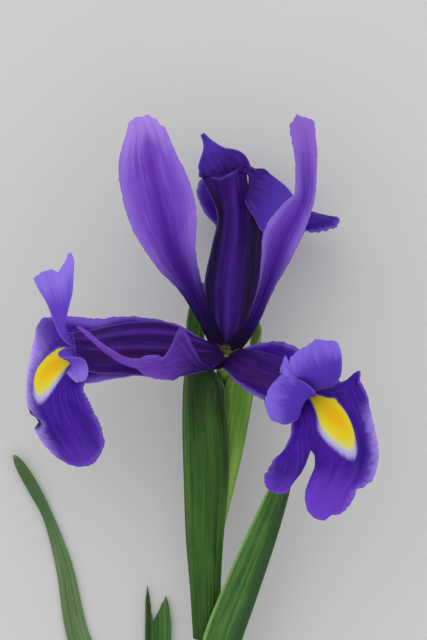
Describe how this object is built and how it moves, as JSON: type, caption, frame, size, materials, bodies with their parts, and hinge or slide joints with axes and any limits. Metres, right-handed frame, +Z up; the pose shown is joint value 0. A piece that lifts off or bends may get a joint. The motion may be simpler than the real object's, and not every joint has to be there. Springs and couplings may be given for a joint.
{
  "type": "iris flower",
  "caption": "Cut bulbous iris lying on its back: stem with leaves and a spathe, and one open violet flower with drooping falls, upright standards and crested style arms.",
  "frame": {"origin": "middle of the bounding box, at its lowest point, on the surface that the flower lies on", "axes": "+Y runs along the stem from its cut end to the flower, +Z is up from the surface, +X is to the right of the flower as it is looked down on"},
  "size_m": [0.1198, 0.3126, 0.0908],
  "materials": {
    "fall_petal": "soft violet petal with a yellow signal patch",
    "standard_petal": "soft light violet petal",
    "style_arm": "soft violet petal",
    "stamen_cream": "matt, mealy",
    "leaf_green": "satin, finely ribbed",
    "stem_green": "satin"
  },
  "bodies": {
    "root": {"stem": "stem_green", "ovary": "stem_green", "spathe_outer": "leaf_green", "spathe_inner": "leaf_green", "leaf_right": "leaf_green", "leaf_left": "leaf_green", "leaf_cut": "leaf_green", "fall_left": "fall_petal", "fall_right": "fall_petal", "fall_back": "fall_petal", "standard_left": "standard_petal", "standard_right": "standard_petal", "standard_front": "standard_petal", "style_arm_left": "style_arm", "style_arm_right": "style_arm", "style_arm_back": "style_arm", "stamen_left": "stamen_cream", "stamen_right": "stamen_cream", "stamen_back": "stamen_cream"}
  },
  "joints": []
}
